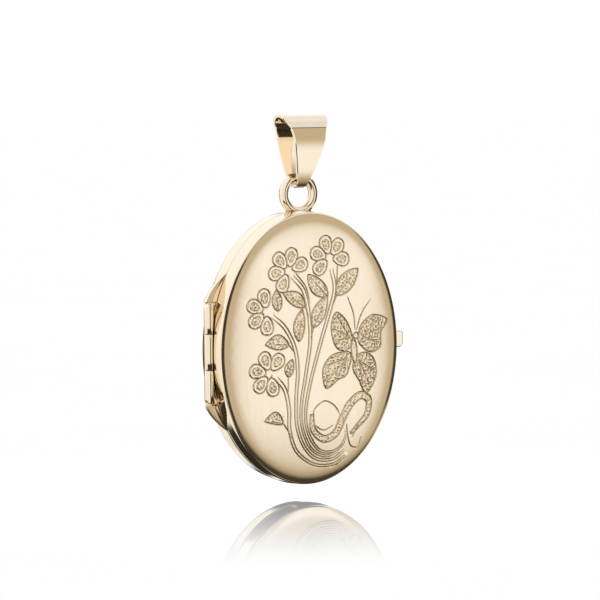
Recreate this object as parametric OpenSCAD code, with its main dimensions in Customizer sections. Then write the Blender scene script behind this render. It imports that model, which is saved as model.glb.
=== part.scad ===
// Oval hinged locket that hangs from a tapered bail.
// The two halves part on a plane across y. The front faces -Y, the hinge is at -X, the thumb
// piece at +X and the bail at the top. The origin is the inside top of the bail, where the
// chain runs.

/* [Case] */
// Height of the oval case
case_h = 30; // [24:0.5:37]
// Width of the oval case
case_w = 22.8; // [18.8:0.2:28]
// Depth of the front half, from the parting plane to its shoulder
front_depth = 1.9; // [1.8:0.1:3]
// Depth of the back half, from the parting plane to its shoulder
back_depth = 2.2; // [1.8:0.1:3.5]
// Thickness of the side walls
wall = 0.35; // [0.28:0.01:0.45]
// Thickness of the two covers
cover_t = 0.3; // [0.24:0.01:0.4]
// Rise of a cover's crown above its shoulder
crown = 0.5; // [0.3:0.05:0.9]
// Width and height of the rounded shoulder round a cover
shoulder = 0.34; // [0.25:0.01:0.36]
// Gap between the closed halves
seam_gap = 0.04; // [0.03:0.01:0.08]

/* [Snap] */
// Thickness of the snap bezel
bezel_t = 0.25; // [0.22:0.01:0.35]
// How far the bezel stands into the front half
bezel_rise = 0.45; // [0.35:0.05:0.5]
// How far the bezel reaches down into the back half
bezel_foot = 0.9; // [0.6:0.05:1.2]
// Clearance between the bezel and the front half
bezel_clear = 0.07; // [0.06:0.01:0.12]
// Diameter of the catch bead's wire
bead_d = 0.26; // [0.22:0.02:0.28]
// Length of the catch bead
bead_len = 1.4; // [1:0.1:1.6]
// How far the catch bead stands out of the bezel
bead_out = 0.04; // [0.02:0.01:0.04]

/* [Picture frames] */
// Width of the frame's face, which covers the picture's edge
frame_lip = 1.3; // [1:0.1:2]
// Thickness of a frame's sheet metal
frame_t = 0.2; // [0.16:0.02:0.24]
// Height of a frame's skirt
skirt_h = 0.7; // [0.55:0.05:0.7]
// Thickness of the clear window
window_t = 0.15; // [0.1:0.01:0.2]
// Thickness of the picture card
card_t = 0.25; // [0.15:0.01:0.3]
// Clearance round the frames, windows and cards in their seats
frame_fit = 0.02; // [0.01:0.01:0.04]

/* [Hinge] */
// Outer diameter of the knuckles
barrel_d = 1.06; // [0.95:0.01:1.1]
// Diameter of the hinge pin
pin_d = 0.5; // [0.4:0.01:0.56]
// Radial clearance of the pin in the middle knuckle, which turns on it
pin_clear = 0.02; // [0.01:0.005:0.04]
// How far the pin's axis lies outside the case
hinge_out = 0.2; // [0.18:0.01:0.3]
// Length of the upper knuckle
upper_len = 3.3; // [2.6:0.1:4.2]
// Length of the middle knuckle
middle_len = 3.84; // [3:0.02:4.8]
// Length of the lower knuckle
lower_len = 3.6; // [2.8:0.1:4.4]
// Gap between neighbouring knuckles
knuckle_gap = 0.06; // [0.04:0.01:0.12]
// Clearance round the knuckles in the half that they don't belong to
barrel_clear = 0.08; // [0.06:0.01:0.1]
// Length of the mitre on the outer ends of the barrel
mitre_len = 0.5; // [0.2:0.05:0.8]
// Height of the plate's end shoulders above and below the barrel
plate_len = 3.1; // [2:0.1:3.6]
// Thickness of the hinge plate, front to back
plate_t = 0.9; // [0.6:0.05:1.1]
// Slot between the upper knuckle and the shoulder above it
upper_slot = 0.08; // [0.04:0.02:0.3]
// Slot between the lower knuckle and the shoulder below it
lower_slot = 0.3; // [0.04:0.02:0.5]
// Thickness of the bearers soldered inside the walls behind the hinge
bearer_t = 0.28; // [0.22:0.01:0.29]

/* [Thumb piece] */
// Height of the thumb piece
thumb_h = 1.86; // [1.4:0.02:2.4]
// How far the thumb piece stands out of the case
thumb_out = 1.5; // [1.2:0.05:2]
// Thickness of the thumb piece
thumb_t = 0.5; // [0.35:0.05:0.7]
// Radius of the thumb piece's two outer corners
thumb_round = 0.45; // [0.2:0.05:0.65]
// Height of the thumb piece's middle above the middle of the case
thumb_up = 0.3; // [-1:0.1:2]

/* [Ring] */
// Diameter of the hanging ring, along the middle of its wire
ring_d = 3.72; // [3.3:0.02:4.6]
// Diameter of the ring's wire
ring_wire = 1.02; // [0.84:0.02:1.1]
// How far the middle of the ring's wire dips below the top of the case
ring_sink = 0.12; // [0:0.02:0.2]
// Width of the solder seat under the ring
seat_w = 4.4; // [4:0.1:5.5]
// Height of the solder seat
seat_h = 0.2; // [0.15:0.01:0.4]
// Depth of the solder seat behind the ring's wire
seat_back = 0.3; // [0.2:0.05:0.6]

/* [Bail] */
// Height from the middle of the ring's top wire to the top of the bail
bail_rise = 6.85; // [5.8:0.05:8.4]
// Width of the bail at its very top
bail_w = 5.6; // [5:0.1:7.2]
// Width of the bail where its crown ends and its front begins
bail_shoulder = 4.8; // [4:0.1:5.6]
// Width of the bail where it turns round the ring
bail_foot = 1.3; // [1:0.1:1.5]
// Width of the bail at the waist, halfway down its taper
bail_waist = 3.1; // [2.4:0.1:4]
// Height of the bail's crown, from its shoulder to the top
bail_top_h = 1.5; // [1.2:0.05:2.2]
// Thickness of the bail's strip
bail_t = 0.4; // [0.3:0.02:0.48]
// Outer diameter of the bail's crown, front to back
crown_d = 3.5; // [3:0.1:4.2]
// Outer diameter of the bail's belly, front to back
belly_d = 3.66; // [3:0.1:4.4]
// How far the middle of the belly lies below the middle of the crown
belly_drop = 1.3; // [0.8:0.1:2]
// How far the belly leans towards the front
belly_lean = 0.25; // [0:0.05:0.5]
// Clearance between the bail and the ring's wire
bail_clear = 0.1; // [0.08:0.01:0.15]

/* [Hidden] */
$fn = 96;

GOLD = "#dcc08a";
CARD = "#f2ece0";
CLEAR = "#dfe8ea";

far = 60;                        // longer than anything that it cuts
oval_steps = 72;                 // corners of the polygon that stands for the oval
half_w = case_w / 2;
half_h = case_h / 2;
seam = seam_gap / 2;             // where each half starts, measured from the parting plane

// The ring's wire lies just behind the parting plane
ring_r = ring_d / 2;
wire_r = ring_wire / 2;
ring_y = half_h + ring_r - ring_sink;
ring_z = -wire_r - seam;

// The bail's foot is round about the ring's topmost wire, which it turns on
foot_y = ring_y + ring_r;
foot_r = ring_r - sqrt(pow(ring_r - wire_r, 2) - pow(bail_foot / 2, 2)) + bail_clear;
bail_top = foot_y + bail_rise;
crown_y = bail_top - crown_d / 2;
drop = bail_top - bail_t;        // from the origin down to the middle of the case

// The hinge, measured from the middle of the case
barrel_r = barrel_d / 2;
barrel_len = upper_len + middle_len + lower_len + 2 * knuckle_gap;
barrel_top = barrel_len / 2;
upper_y = barrel_top - upper_len;
middle_y = upper_y - knuckle_gap - middle_len;
hinge_x = -half_w - hinge_out;
mitre_w = 0.45 * barrel_d;
plate_out = 0.45;                // how far the end shoulders reach outside the pin's axis
plate_mid_out = 0.14;            // the same for the strip behind the knuckles
web_t = 0.36;                    // thickness of the solder web behind the middle knuckle
web_inset = 0.15;                // how much shorter than its knuckle the web is, at each end
bearer_z = 0.48;                 // depth of the bearers below the parting plane

// Inside the case
bezel_in = wall + bezel_clear + bezel_t;
hinge_room_y = barrel_top + 1.2; // the bezel stops this far above and below the middle
front_frame_z = bezel_rise + 0.12;
back_frame_z = 0.06;

// Local frame of the case: x right, y up, z towards the front, z = 0 on the parting plane
module case_frame() translate([0, 0, -drop]) rotate([90, 0, 0]) children();

// A point on the elliptical outline at angle a, moved outward by g along the normal
function oval_point(a, g) =
  let (n = [half_h * cos(a), half_w * sin(a)])
  [half_w * cos(a), half_h * sin(a)] + g * n / norm(n);

// The slab between depths z0 and z1 inside the case's outline grown by g
module slab(g, z0, z1)
  translate([0, 0, z0]) linear_extrude(z1 - z0)
    polygon([for (i = [0 : oval_steps - 1]) oval_point(360 * i / oval_steps, g)]);

// The oval band between two outlines
module band(g_out, g_in, z0, z1) difference() {
  slab(g_out, z0, z1);
  slab(g_in, z0 - 1, z1 + 1);
}

// The solid dome over an outline, with its shoulder at depth z
module dome(g, z) hull() {
  slab(g, z - shoulder, z - shoulder + 0.01);
  slab(g - 0.29 * shoulder, z - 0.29 * shoulder - 0.01, z - 0.29 * shoulder);
  for (k = [0, 0.3, 0.6])
    slab(g - shoulder - half_w * k, z - 0.01, z + crown * (1 - pow(1 - k, 2)));
}

// One half's cover, a domed sheet whose edge stands on the side wall
module cover(z) difference() {
  dome(0, z);
  translate([0, 0, -cover_t]) dome(-wall, z);
}

// A picture frame that faces z = 0: a flat lip and a skirt that fit inside the outline g
module picture_frame(g) {
  band(-g - frame_fit, -g - frame_lip, 0, frame_t);
  band(-g - frame_fit, -g - frame_fit - frame_t, frame_t, frame_t + skirt_h);
}

// What lies behind a frame's lip: the clear window, then the card
module window(g) slab(-g - 2 * frame_fit - frame_t, frame_t, frame_t + window_t);
module card(g)
  slab(-g - 2 * frame_fit - frame_t, frame_t + window_t, frame_t + window_t + card_t);

module front_seat() translate([0, 0, front_frame_z]) children();
module back_seat() mirror([0, 0, 1]) translate([0, 0, back_frame_z]) children();

// A cylinder on the hinge's axis from y0 to y1
module on_hinge(r, y0, y1)
  translate([hinge_x, y0, 0]) rotate([-90, 0, 0]) cylinder(r = r, h = y1 - y0);

// Room that a wall leaves for the whole barrel
module barrel_room()
  on_hinge(barrel_r + barrel_clear, -barrel_top - barrel_clear, barrel_top + barrel_clear);

// The outer corner that the mitre takes off the barrel's end. side is 1 for the upper end
module mitre(side)
  scale([1, side, 1])
    translate([0, 0, -far / 2])
      linear_extrude(far)
        polygon([
          [hinge_x - barrel_r - 0.1, barrel_top - mitre_len],
          [hinge_x - barrel_r, barrel_top - mitre_len],
          [hinge_x - barrel_r + mitre_w, barrel_top],
          [hinge_x - barrel_r + mitre_w, barrel_top + 0.1],
          [hinge_x - barrel_r - 0.1, barrel_top + 0.1]
        ]);

module pin_bore(clear) on_hinge(pin_d / 2 + clear, -far / 2, far / 2);

// The solder web that ties the middle knuckle to the front half, let half into the bearer
module middle_web()
  translate([hinge_x, middle_y + web_inset, seam])
    cube([hinge_out + wall + bearer_t / 2, middle_len - 2 * web_inset, web_t]);

// A strip soldered inside the front half's wall behind the hinge
module bearer() difference() {
  intersection() {
    band(-wall, -wall - bearer_t, seam, bearer_z);
    translate([-half_w, 0, 0]) cube([half_w, 2 * (barrel_top + 0.6), far], center = true);
  }
  barrel_room();
}

module ring_wire_solid()
  translate([0, ring_y, ring_z]) rotate_extrude() translate([ring_r, 0]) circle(r = wire_r);

module bead_solid(grow)
  translate([half_w - wall - bezel_clear + bead_out - bead_d / 2, -bead_len / 2 - grow, bezel_rise / 2])
    rotate([-90, 0, 0]) cylinder(r = bead_d / 2 + grow, h = bead_len + 2 * grow);

// The bail's teardrop, seen from the side, shrunk by t. Its first axis points to the back.
module teardrop(t) hull() {
  translate([-ring_z, foot_y]) circle(r = foot_r + bail_t - t);
  translate([-belly_lean, crown_y - belly_drop]) circle(r = belly_d / 2 - t);
  translate([0, crown_y]) circle(r = crown_d / 2 - t);
}

module bail() {
  foot_bottom = foot_y - foot_r - bail_t;
  taper_top = bail_top - bail_top_h;
  right_edge = [
    [bail_foot / 2, foot_bottom - 0.1],
    [bail_foot / 2, foot_bottom],
    [bail_waist / 2, (foot_bottom + taper_top) / 2],
    [bail_shoulder / 2, taper_top],
    [bail_w / 2, bail_top],
    [bail_w / 2, bail_top + 0.1]
  ];
  left_edge = [for (i = [len(right_edge) - 1 : -1 : 0]) [-right_edge[i].x, right_edge[i].y]];
  color(GOLD) case_frame() intersection() {
    translate([-bail_w / 2, 0, 0]) rotate([0, 90, 0]) linear_extrude(bail_w) difference() {
      teardrop(0);
      teardrop(bail_t);
    }
    translate([0, 0, -far / 2]) linear_extrude(far) polygon(concat(right_edge, left_edge));
  }
}

module hanging_ring() color(GOLD) case_frame() difference() {
  ring_wire_solid();
  slab(0, -far / 2, far / 2);
}

module ring_seat() color(GOLD) case_frame() difference() {
  intersection() {
    band(seat_h, 0, ring_z - wire_r - seat_back, ring_z + 0.7 * wire_r);
    translate([0, half_h, 0]) cube([seat_w, half_h, far], center = true);
  }
  ring_wire_solid();
}

module back_cover() color(GOLD) case_frame() mirror([0, 0, 1]) cover(back_depth);

module back_rim() color(GOLD) case_frame() difference() {
  band(0, -wall, shoulder - back_depth, -seam);
  barrel_room();
}

module snap_bezel() color(GOLD) case_frame() difference() {
  union() {
    band(-wall, -bezel_in, -bezel_foot, -seam);
    band(-wall - bezel_clear, -bezel_in, -seam, bezel_rise);
  }
  translate([-half_w, 0, 0]) cube([half_w, 2 * hinge_room_y, far], center = true);
  bead_solid(0);
}

module catch_bead() color(GOLD) case_frame() bead_solid(0);

module back_bearer() color(GOLD) case_frame() mirror([0, 0, 1]) bearer();

module hinge_plate() {
  upper_end = [barrel_top + upper_slot, barrel_top + plate_len];
  lower_end = [-barrel_top - lower_slot, -barrel_top - plate_len];
  color(GOLD) case_frame() difference() {
    translate([0, 0, -seam - plate_t]) linear_extrude(plate_t)
      polygon([
        [hinge_x - plate_out, upper_end[0]],
        [-half_w * sqrt(1 - pow(upper_end[1] / half_h, 2)), upper_end[1]],
        [-half_w / 2, upper_end[1]],
        [-half_w / 2, lower_end[1]],
        [-half_w * sqrt(1 - pow(lower_end[1] / half_h, 2)), lower_end[1]],
        [hinge_x - plate_out, lower_end[0]],
        [hinge_x - plate_mid_out, lower_end[0]],
        [hinge_x - plate_mid_out, upper_end[0]]
      ]);
    slab(0, -far / 2, far / 2);
    on_hinge(barrel_r, -barrel_top - lower_slot, barrel_top + upper_slot);
    on_hinge(barrel_r + barrel_clear, middle_y - knuckle_gap, middle_y + middle_len + knuckle_gap);
  }
}

module upper_knuckle() color(GOLD) case_frame() difference() {
  on_hinge(barrel_r, upper_y, barrel_top);
  pin_bore(0);
  mitre(1);
}

module lower_knuckle() color(GOLD) case_frame() difference() {
  on_hinge(barrel_r, -barrel_top, -barrel_top + lower_len);
  pin_bore(0);
  mitre(-1);
}

module hinge_pin() color(GOLD) case_frame() on_hinge(pin_d / 2, -barrel_top, barrel_top);

module back_picture_frame() color(GOLD) case_frame() back_seat() picture_frame(bezel_in);
module back_window() color(CLEAR, 0.4) case_frame() back_seat() window(bezel_in);
module back_card() color(CARD) case_frame() back_seat() card(bezel_in);

module front_cover() color(GOLD) case_frame() cover(front_depth);

module front_rim() color(GOLD) case_frame() difference() {
  band(0, -wall, seam, front_depth - shoulder);
  barrel_room();
  middle_web();
  bead_solid(0.05);
}

module front_bearer() color(GOLD) case_frame() difference() {
  bearer();
  middle_web();
}

module middle_knuckle() color(GOLD) case_frame() difference() {
  union() {
    on_hinge(barrel_r, middle_y, middle_y + middle_len);
    middle_web();
  }
  pin_bore(pin_clear);
}

module thumb_piece() {
  corner_y = thumb_h / 2 - thumb_round;
  color(GOLD) case_frame() difference() {
    translate([half_w, thumb_up, 0.1]) linear_extrude(thumb_t) hull() {
      for (y = [-corner_y, corner_y]) translate([thumb_out - thumb_round, y]) circle(r = thumb_round);
      translate([-0.5, -thumb_h / 2]) square([0.1, thumb_h]);
    }
    slab(0, -far / 2, far / 2);
  }
}

module front_picture_frame() color(GOLD) case_frame() front_seat() picture_frame(wall);
module front_window() color(CLEAR, 0.4) case_frame() front_seat() window(wall);
module front_card() color(CARD) case_frame() front_seat() card(wall);

bail();
hanging_ring();
ring_seat();
back_cover();
back_rim();
snap_bezel();
catch_bead();
back_bearer();
hinge_plate();
upper_knuckle();
lower_knuckle();
hinge_pin();
back_picture_frame();
back_window();
back_card();
front_cover();
front_rim();
front_bearer();
middle_knuckle();
thumb_piece();
front_picture_frame();
front_window();
front_card();
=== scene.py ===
"""Oval gold locket with an engraved front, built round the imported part's frame."""

import math

import bpy
import numpy as np
from bpy.props import FloatProperty, FloatVectorProperty, IntProperty, PointerProperty
from mathutils import Matrix, Vector, geometry


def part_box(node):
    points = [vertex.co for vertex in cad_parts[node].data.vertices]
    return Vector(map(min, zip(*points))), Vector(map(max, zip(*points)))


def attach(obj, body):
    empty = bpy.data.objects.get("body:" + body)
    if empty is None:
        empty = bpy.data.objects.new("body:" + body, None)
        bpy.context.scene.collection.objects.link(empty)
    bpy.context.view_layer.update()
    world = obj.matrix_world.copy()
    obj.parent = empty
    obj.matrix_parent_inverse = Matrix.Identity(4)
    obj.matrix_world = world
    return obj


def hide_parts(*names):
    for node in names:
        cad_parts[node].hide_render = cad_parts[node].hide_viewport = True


bl_info = {
    "name": "Engraved oval locket",
    "version": (1, 0, 0),
    "blender": (4, 5, 0),
    "location": "View3D > Sidebar > Locket",
    "description": "Makes a hinged oval locket with an engraved front, its bail and a studio",
    "category": "Object",
}

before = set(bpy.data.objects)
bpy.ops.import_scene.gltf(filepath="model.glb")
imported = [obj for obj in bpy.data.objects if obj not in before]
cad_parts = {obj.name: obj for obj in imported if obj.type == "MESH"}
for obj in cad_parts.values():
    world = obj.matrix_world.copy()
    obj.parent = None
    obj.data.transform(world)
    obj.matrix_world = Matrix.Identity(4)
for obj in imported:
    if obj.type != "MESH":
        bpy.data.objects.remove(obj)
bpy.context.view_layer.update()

MM = 0.001
RIM_LOW, RIM_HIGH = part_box("back_rim")
BAIL_LOW, BAIL_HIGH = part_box("bail")
BARREL_LOW, BARREL_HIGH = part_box("hinge_pin")
CASE_MIDDLE = (RIM_LOW.z + RIM_HIGH.z) / 2
AROUND = 360  # points of an outline round the case
DOME_RISE = 0.33 * MM
EDGE_FALL = 0.11 * MM
BARREL_ROOM = 0.61 * MM  # from the hinge line out to the wall cut away for it
BAIL_RISE = 6.85 * MM  # from the ring's top wire up to the bail's top
SEAT_HALF = 2.2 * MM
SEED = 7
FINISHES = {}


# ---------------------------------------------------------------- sizes and colours


class LocketCase(bpy.types.PropertyGroup):
    """Sizes of the oval case"""

    half_width: FloatProperty(
        name="Half width", description="From the case's middle to its side",
        default=RIM_HIGH.x, unit="LENGTH")
    half_height: FloatProperty(
        name="Half height", description="From the case's middle to its top",
        default=(RIM_HIGH.z - RIM_LOW.z) / 2, unit="LENGTH")
    wall: FloatProperty(
        name="Wall", description="Thickness of the side walls", default=0.35 * MM, unit="LENGTH")
    front_depth: FloatProperty(
        name="Front depth", description="Depth of the front half at its edge",
        default=1.9 * MM, unit="LENGTH")
    back_depth: FloatProperty(
        name="Back depth", description="Depth of the back half at its edge",
        default=2.2 * MM, unit="LENGTH")
    seam: FloatProperty(
        name="Seam", description="Half of the gap between the closed halves",
        default=0.02 * MM, unit="LENGTH")


class LocketEngraving(bpy.types.PropertyGroup):
    """How the front is cut"""

    line_width: FloatProperty(
        name="Line width", description="Width of a cut line", default=0.17 * MM, unit="LENGTH")
    line_depth: FloatProperty(
        name="Line depth", description="Depth of a cut line", default=0.055 * MM, unit="LENGTH")
    stipple_depth: FloatProperty(
        name="Stipple depth", description="Depth of the stippling inside petals and leaves",
        default=0.016 * MM, unit="LENGTH")
    seed: IntProperty(
        name="Seed", description="Seed of the stippling", default=SEED)


class LocketHinge(bpy.types.PropertyGroup):
    """Sizes of the hinge and the thumb piece"""

    barrel_radius: FloatProperty(
        name="Barrel radius", description="Outer radius of the knuckles",
        default=0.53 * MM, unit="LENGTH")
    pin_radius: FloatProperty(
        name="Pin radius", description="Radius of the hinge pin",
        default=0.25 * MM, unit="LENGTH")


class LocketBail(bpy.types.PropertyGroup):
    """Sizes of the bail and the ring"""

    thickness: FloatProperty(
        name="Strip", description="Thickness of the bail's strip", default=0.4 * MM, unit="LENGTH")
    half_width: FloatProperty(
        name="Half width", description="Half of the bail's width at its top",
        default=BAIL_HIGH.x, unit="LENGTH")
    ring_radius: FloatProperty(
        name="Ring radius", description="Radius of the ring along the middle of its wire",
        default=1.86 * MM, unit="LENGTH")
    wire_radius: FloatProperty(
        name="Wire radius", description="Radius of the ring's wire",
        default=0.51 * MM, unit="LENGTH")


class LocketFinish(bpy.types.PropertyGroup):
    """Colours of the finishes"""

    gold: FloatVectorProperty(
        name="Gold", description="Colour of the polished gold", subtype="COLOR",
        default=(0.93, 0.80, 0.61), size=3)
    # Painted shade: the colour that cut lines and stippled beds are painted towards, for the shade
    # in their hollows
    cut_gold_painted_shade: FloatVectorProperty(
        name="Cut gold", description="Colour of the gold deep in a cut line", subtype="COLOR",
        default=(0.56, 0.39, 0.19), size=3)
    card: FloatVectorProperty(
        name="Card", description="Colour of the picture cards", subtype="COLOR",
        default=(0.86, 0.83, 0.76), size=3)


class LocketStage(bpy.types.PropertyGroup):
    """The studio round the locket"""

    camera_azimuth: FloatProperty(
        name="Camera azimuth", description="Angle of the camera round the locket",
        default=math.radians(-31.2), subtype="ANGLE")
    camera_elevation: FloatProperty(
        name="Camera elevation", description="Angle of the camera above the horizon",
        default=math.radians(4.8), subtype="ANGLE")
    camera_distance: FloatProperty(
        name="Camera distance", description="From the case's middle to the camera",
        default=280 * MM, unit="LENGTH")
    camera_roll: FloatProperty(
        name="Camera roll", description="How far the camera is tilted sideways",
        default=math.radians(0.36), subtype="ANGLE")
    camera_aside: FloatProperty(
        name="Camera aside", description="Shift of the camera to its right",
        default=-0.164 * MM, unit="LENGTH")
    camera_rise: FloatProperty(
        name="Camera rise", description="Shift of the camera upward",
        default=5.17 * MM, unit="LENGTH")
    lens: FloatProperty(
        name="Lens", description="Focal length on a sensor 36 mm wide", default=153.7)
    floor_size: FloatProperty(
        name="Floor size", description="Side of the square floor",
        default=6.0, unit="LENGTH")
    floor_gap: FloatProperty(
        name="Floor gap", description="From the bottom of the case down to the floor",
        default=1.05 * MM, unit="LENGTH")


GROUPS = {
    "locket_case": LocketCase,
    "locket_engraving": LocketEngraving,
    "locket_hinge": LocketHinge,
    "locket_bail": LocketBail,
    "locket_finish": LocketFinish,
    "locket_stage": LocketStage,
}


# ---------------------------------------------------------------- mesh helpers


def at(x, y, depth):
    """A point of the case's own frame (right, up, forward from the parting plane)."""
    return (x, -depth, y + CASE_MIDDLE)


def to_world(points):
    """The same for an array of points."""
    points = np.asarray(points, float)
    return np.stack([points[:, 0], -points[:, 2], points[:, 1] + CASE_MIDDLE], axis=1)


def mesh_piece(name, vertices, faces, material, smooth=True):
    """A mesh object whose place is in its vertices."""
    mesh = bpy.data.meshes.new(name)
    mesh.from_pydata([tuple(v) for v in vertices], [], faces)
    mesh.validate()
    mesh.polygons.foreach_set("use_smooth", [smooth] * len(mesh.polygons))
    mesh.materials.append(material)
    mesh.update()
    obj = bpy.data.objects.new(name, mesh)
    bpy.context.scene.collection.objects.link(obj)
    return obj


def stand_in(obj, body, slot, *nodes):
    """The piece takes the CAD nodes' place on their body."""
    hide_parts(*nodes)
    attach(obj, body)
    return obj


def grid_faces(rows, columns, start=0, close_columns=True, close_rows=False):
    """Quads between rows of vertices that lie one after the other."""
    faces = []
    last_row = rows if close_rows else rows - 1
    last_column = columns if close_columns else columns - 1
    for r in range(last_row):
        for c in range(last_column):
            a = start + r * columns + c
            b = start + r * columns + (c + 1) % columns
            d = start + (r + 1) % rows * columns + c
            e = start + (r + 1) % rows * columns + (c + 1) % columns
            faces.append((a, b, e, d))
    return faces


def outward(obj):
    """Turns the faces of a closed mesh outwards."""
    bpy.context.view_layer.objects.active = obj
    for other in bpy.context.selected_objects:
        other.select_set(False)
    obj.select_set(True)
    bpy.ops.object.mode_set(mode="EDIT")
    bpy.ops.mesh.select_all(action="SELECT")
    bpy.ops.mesh.remove_doubles(threshold=1e-7)
    bpy.ops.mesh.normals_make_consistent(inside=False)
    bpy.ops.object.mode_set(mode="OBJECT")
    obj.select_set(False)


def soften(obj, width, segments=3, angle=30):
    """Rounds the arrises of a hard-edged piece that turn by more than the angle."""
    bevel = obj.modifiers.new("Softened arrises", "BEVEL")
    bevel.width = width
    bevel.segments = segments
    bevel.limit_method = "ANGLE"
    bevel.angle_limit = math.radians(angle)
    bevel.harden_normals = True
    return obj


def extruded(name, outline, depth_0, depth_1, material):
    """A plate: an outline in the case's plane, between two depths."""
    n = len(outline)
    points = [at(x, y, depth_0) for x, y in outline] + [at(x, y, depth_1) for x, y in outline]
    faces = [tuple(range(n)), tuple(range(2 * n - 1, n - 1, -1))]
    faces += [(i, i + n, (i + 1) % n + n, (i + 1) % n) for i in range(n)]
    obj = mesh_piece(name, points, faces, material)
    outward(obj)
    return obj


# ---------------------------------------------------------------- materials


def node(tree, kind, place, **values):
    """A node with its named properties and inputs set."""
    made = tree.nodes.new(kind)
    made.location = place
    for key, value in values.items():
        if hasattr(made, key):
            setattr(made, key, value)
        else:
            made.inputs[key.replace("_", " ")].default_value = value
    return made


def new_material(name):
    """An empty node material, its tree and its principled shader."""
    material = bpy.data.materials.new(name)
    material.use_nodes = True
    tree = material.node_tree
    tree.nodes.clear()
    out = node(tree, "ShaderNodeOutputMaterial", (600, 0))
    shader = node(tree, "ShaderNodeBsdfPrincipled", (300, 0))
    tree.links.new(shader.outputs["BSDF"], out.inputs["Surface"])
    return material, tree, shader


def ramp_colours(ramp, stops):
    """Sets the stops of a colour ramp."""
    elements = ramp.color_ramp.elements
    while len(elements) < len(stops):
        elements.new(0.5)
    for element, (place, colour) in zip(elements, stops):
        element.position = place
        element.color = (*colour, 1.0)


def gold_material(name, gold, roughness, scratch, cut_gold_painted_shade=None):
    """Polished gold: a faint cloud in its colour, hairlines in its polish, painted shade in the
    cuts and painted shade in crevices that ambient occlusion finds.
    """
    material, tree, shader = new_material(name)
    link = tree.links.new
    shader.inputs["Metallic"].default_value = 1.0
    place = node(tree, "ShaderNodeTexCoord", (-1200, 0))
    cloud = node(tree, "ShaderNodeTexNoise", (-900, 250), Scale=260.0, Detail=3.0, Roughness=0.5)
    link(place.outputs["Object"], cloud.inputs["Vector"])
    tint = node(tree, "ShaderNodeValToRGB", (-650, 250))
    deeper = [c * k for c, k in zip(gold, (0.985, 0.97, 0.94))]
    ramp_colours(tint, [(0.3, deeper), (0.7, gold)])
    link(cloud.outputs["Fac"], tint.inputs["Fac"])
    colour = tint.outputs["Color"]
    hair = node(tree, "ShaderNodeTexNoise", (-900, -50), Scale=2400.0, Detail=4.0, Roughness=0.6)
    stretch = node(tree, "ShaderNodeMapping", (-1050, -150))
    stretch.inputs["Scale"].default_value = (1.0, 1.0, 0.12)
    stretch.inputs["Rotation"].default_value = (0.3, 0.5, 0.2)
    link(place.outputs["Object"], stretch.inputs["Vector"])
    link(stretch.outputs["Vector"], hair.inputs["Vector"])
    polish = node(tree, "ShaderNodeMapRange", (-650, -50))
    polish.inputs["From Min"].default_value = 0.35
    polish.inputs["From Max"].default_value = 0.75
    polish.inputs["To Min"].default_value = roughness
    polish.inputs["To Max"].default_value = roughness + 0.07
    link(hair.outputs["Fac"], polish.inputs["Value"])
    rough = polish.outputs["Result"]
    if cut_gold_painted_shade is not None:
        # Painted shade: the attribute named cut mixes the colour towards the dark cut gold where
        # lines and stippling are cut
        cut = node(tree, "ShaderNodeAttribute", (-900, 550), attribute_name="cut")
        painted_cut_shade_mix = node(tree, "ShaderNodeMix", (-350, 350), data_type="RGBA")
        link(cut.outputs["Fac"], painted_cut_shade_mix.inputs["Factor"])
        link(colour, painted_cut_shade_mix.inputs[6])
        painted_cut_shade_mix.inputs[7].default_value = (*cut_gold_painted_shade, 1.0)
        colour = painted_cut_shade_mix.outputs[2]
        tool = node(tree, "ShaderNodeMath", (-350, 50), operation="MULTIPLY_ADD")
        link(cut.outputs["Fac"], tool.inputs[0])
        tool.inputs[1].default_value = 0.22
        link(rough, tool.inputs[2])
        rough = tool.outputs["Value"]
    # Painted shade: ambient occlusion mixes the colour towards a dark brown in crevices and between
    # parts, where shade falls
    corner = node(tree, "ShaderNodeAmbientOcclusion", (-600, 700), samples=8)
    corner.inputs["Distance"].default_value = 0.0002
    shade = node(tree, "ShaderNodeMapRange", (-400, 700), interpolation_type="SMOOTHSTEP")
    shade.inputs["From Min"].default_value = 0.15
    shade.inputs["From Max"].default_value = 0.8
    link(corner.outputs["AO"], shade.inputs["Value"])
    painted_nook_shade = node(tree, "ShaderNodeMix", (-150, 500), data_type="RGBA")
    link(shade.outputs["Result"], painted_nook_shade.inputs["Factor"])
    painted_nook_shade.inputs[6].default_value = (*[0.16 * c**3 for c in gold], 1.0)
    link(colour, painted_nook_shade.inputs[7])
    link(painted_nook_shade.outputs[2], shader.inputs["Base Color"])
    link(rough, shader.inputs["Roughness"])
    bump = node(tree, "ShaderNodeBump", (0, -250), Strength=scratch, Distance=0.00001)
    link(hair.outputs["Fac"], bump.inputs["Height"])
    link(bump.outputs["Normal"], shader.inputs["Normal"])
    return material


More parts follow.
